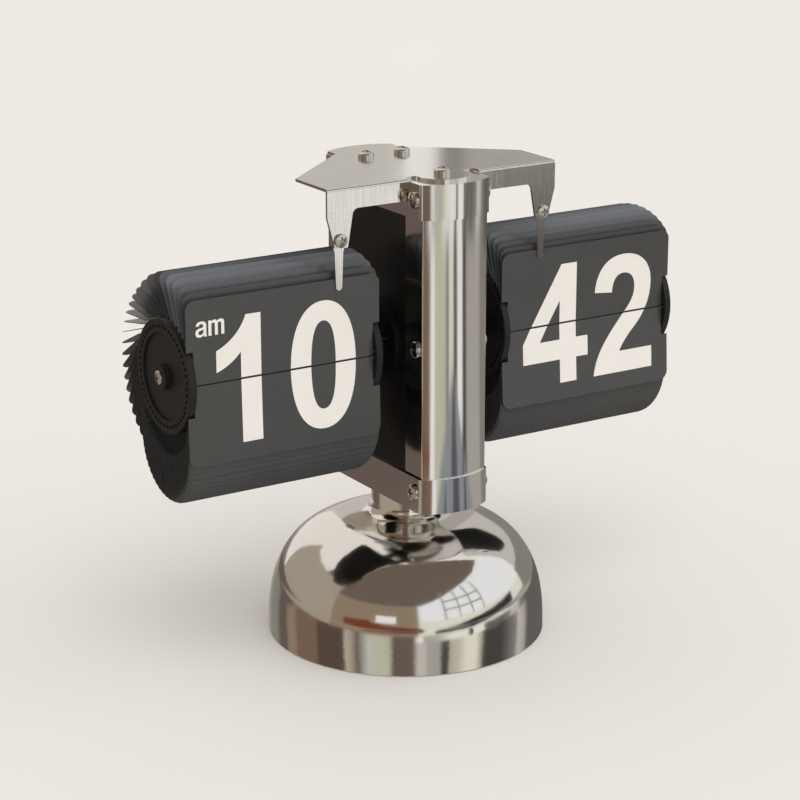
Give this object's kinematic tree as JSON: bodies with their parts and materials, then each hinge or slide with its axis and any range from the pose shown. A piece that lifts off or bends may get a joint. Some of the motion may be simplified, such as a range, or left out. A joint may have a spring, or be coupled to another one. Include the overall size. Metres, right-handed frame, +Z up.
{
  "type": "flip clock",
  "caption": "Desk flip clock: hour and minute drums of hinged number cards on a bow-fronted chrome column, held by spring fingers under a steel bracket, on a domed foot.",
  "frame": {"origin": "centre of the foot's underside, on the surface that the clock stands on", "axes": "+X to the viewer's right along the drums, +Y to the back, +Z up"},
  "size_m": [0.2084, 0.1032, 0.179],
  "materials": {
    "polished_chrome": "polished chrome plate",
    "brushed_sheet": "brushed stainless sheet",
    "screw_steel": "bright nickel plate",
    "card_plastic": "matt printed sheet",
    "wheel_plastic": "moulded, satin",
    "housing_plastic": "moulded, satin",
    "shaft_steel": "ground steel",
    "gear_brass": "cut brass",
    "weight_iron": "as cast",
    "foot_rubber": "foam rubber sheet",
    "motor_case": "drawn can",
    "board_laminate": "solder-masked laminate",
    "black_parts": "moulded",
    "cell_wrap": "plain wrapped cell"
  },
  "bodies": {
    "frame": {"base_dome": "polished_chrome", "lower_band": "polished_chrome", "top_cap": "polished_chrome", "front_cover": "polished_chrome", "rear_cover": "polished_chrome", "top_bracket": "brushed_sheet", "hour_finger": "brushed_sheet", "minute_finger": "brushed_sheet", "plate_screws": "screw_steel", "finger_screws": "screw_steel", "cap_screws": "screw_steel", "cover_screws": "screw_steel", "band_screws": "screw_steel", "movement_screws": "screw_steel", "hour_card_upper": "card_plastic", "hour_cards_hanging": "card_plastic", "hour_cards_fanned": "card_plastic", "hour_cards_standing": "card_plastic", "minute_card_upper": "card_plastic", "minute_cards_hanging": "card_plastic", "minute_cards_fanned": "card_plastic", "minute_cards_standing": "card_plastic", "housing_left": "housing_plastic", "housing_right": "housing_plastic", "battery_holder": "housing_plastic", "base_bolt": "shaft_steel", "base_nut": "shaft_steel", "hour_bush": "gear_brass", "minute_bush": "gear_brass", "centre_plate": "gear_brass", "base_weight": "weight_iron", "base_pad": "foot_rubber", "motor_can": "motor_case", "quartz_crystal": "motor_case", "battery_contacts": "motor_case", "circuit_board": "board_laminate", "control_chip": "black_parts", "board_spacers": "black_parts", "battery": "cell_wrap"},
    "minute_drum": {"minute_outer_wheel": "wheel_plastic", "minute_inner_wheel": "wheel_plastic", "minute_barrel": "wheel_plastic", "minute_arbor": "shaft_steel", "minute_hub_screw": "screw_steel", "minute_pinion": "gear_brass", "drive_wheel": "gear_brass"},
    "hour_drum": {"hour_outer_wheel": "wheel_plastic", "hour_inner_wheel": "wheel_plastic", "hour_barrel": "wheel_plastic", "hour_arbor": "shaft_steel", "hour_hub_screw": "screw_steel", "hour_gear": "gear_brass"},
    "lay_train": {"lay_arbor": "shaft_steel", "lay_gear": "gear_brass", "lay_pinion": "gear_brass"},
    "motor_output": {"motor_pinion": "gear_brass"},
    "hour_card": {"hour_card_lower": "card_plastic"},
    "minute_card": {"minute_card_lower": "card_plastic"}
  },
  "joints": [
    {"name": "minute_drum_turn", "type": "hinge", "parent": "frame", "child": "minute_drum", "pos_m": [0, -0.006, 0.1145], "axis": [1, 0, 0], "continuous": true},
    {"name": "hour_drum_turn", "type": "hinge", "parent": "frame", "child": "hour_drum", "pos_m": [0, -0.006, 0.1145], "axis": [1, 0, 0], "continuous": true},
    {"name": "lay_train_turn", "type": "hinge", "parent": "frame", "child": "lay_train", "pos_m": [0, -0.006, 0.1285], "axis": [1, 0, 0], "continuous": true},
    {"name": "motor_turn", "type": "hinge", "parent": "frame", "child": "motor_output", "pos_m": [0, -0.006, 0.1025], "axis": [1, 0, 0], "continuous": true},
    {"name": "hour_card_flip", "type": "hinge", "parent": "frame", "child": "hour_card", "pos_m": [0, -0.0235, 0.11429], "axis": [-1, 0, 0], "range_deg": [0, 165]},
    {"name": "minute_card_flip", "type": "hinge", "parent": "frame", "child": "minute_card", "pos_m": [0, -0.0235, 0.11419], "axis": [-1, 0, 0], "range_deg": [0, 165]}
  ],
  "couplings": [
    {"joint": "hour_drum_turn", "follows": "minute_drum_turn", "ratio": 0.041667},
    {"joint": "lay_train_turn", "follows": "minute_drum_turn", "ratio": -0.25},
    {"joint": "motor_turn", "follows": "minute_drum_turn", "ratio": -5}
  ]
}
